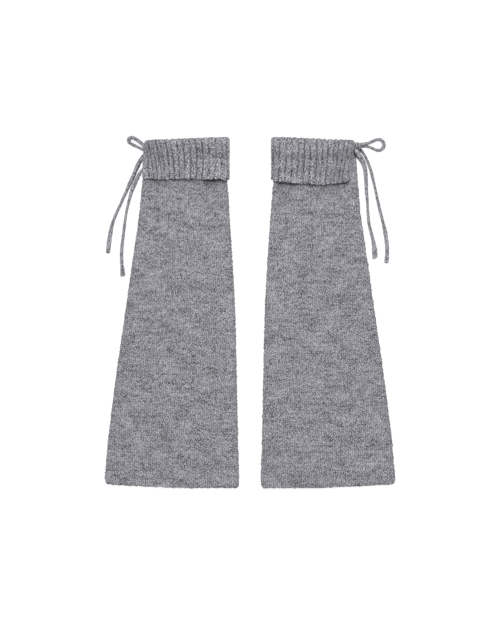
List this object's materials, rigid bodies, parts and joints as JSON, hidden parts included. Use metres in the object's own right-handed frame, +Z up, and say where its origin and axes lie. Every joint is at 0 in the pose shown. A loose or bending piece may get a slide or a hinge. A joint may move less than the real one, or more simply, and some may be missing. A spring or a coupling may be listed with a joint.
{
  "type": "pair of knitted leg warmers",
  "caption": "Pair of flared knitted leg warmers lying flat, each with a turned-down rib cuff and a knitted drawstring tied in a half bow at its outer side.",
  "frame": {"origin": "on the table, midway between the two leg warmers and midway from the cuffs' fold to the hems", "axes": "+X to the right, +Y from the hems to the cuffs, +Z up from the table"},
  "size_m": [0.4068, 0.493, 0.0167],
  "materials": {
    "plain_knit": "matt grey melange plain knit",
    "rib_knit": "matt grey melange rib knit",
    "knitted_cord": "matt grey melange knitted cord"
  },
  "bodies": {
    "root": {"left_leg_front": "plain_knit", "left_leg_back": "plain_knit", "left_cuff_front": "rib_knit", "left_cuff_back": "rib_knit", "left_drawstring_run": "knitted_cord", "left_knot": "knitted_cord", "left_loop": "knitted_cord", "left_tail_outer": "knitted_cord", "left_tail_inner": "knitted_cord", "right_leg_front": "plain_knit", "right_leg_back": "plain_knit", "right_cuff_front": "rib_knit", "right_cuff_back": "rib_knit", "right_drawstring_run": "knitted_cord", "right_knot": "knitted_cord", "right_loop": "knitted_cord", "right_tail_outer": "knitted_cord", "right_tail_inner": "knitted_cord"}
  },
  "joints": []
}
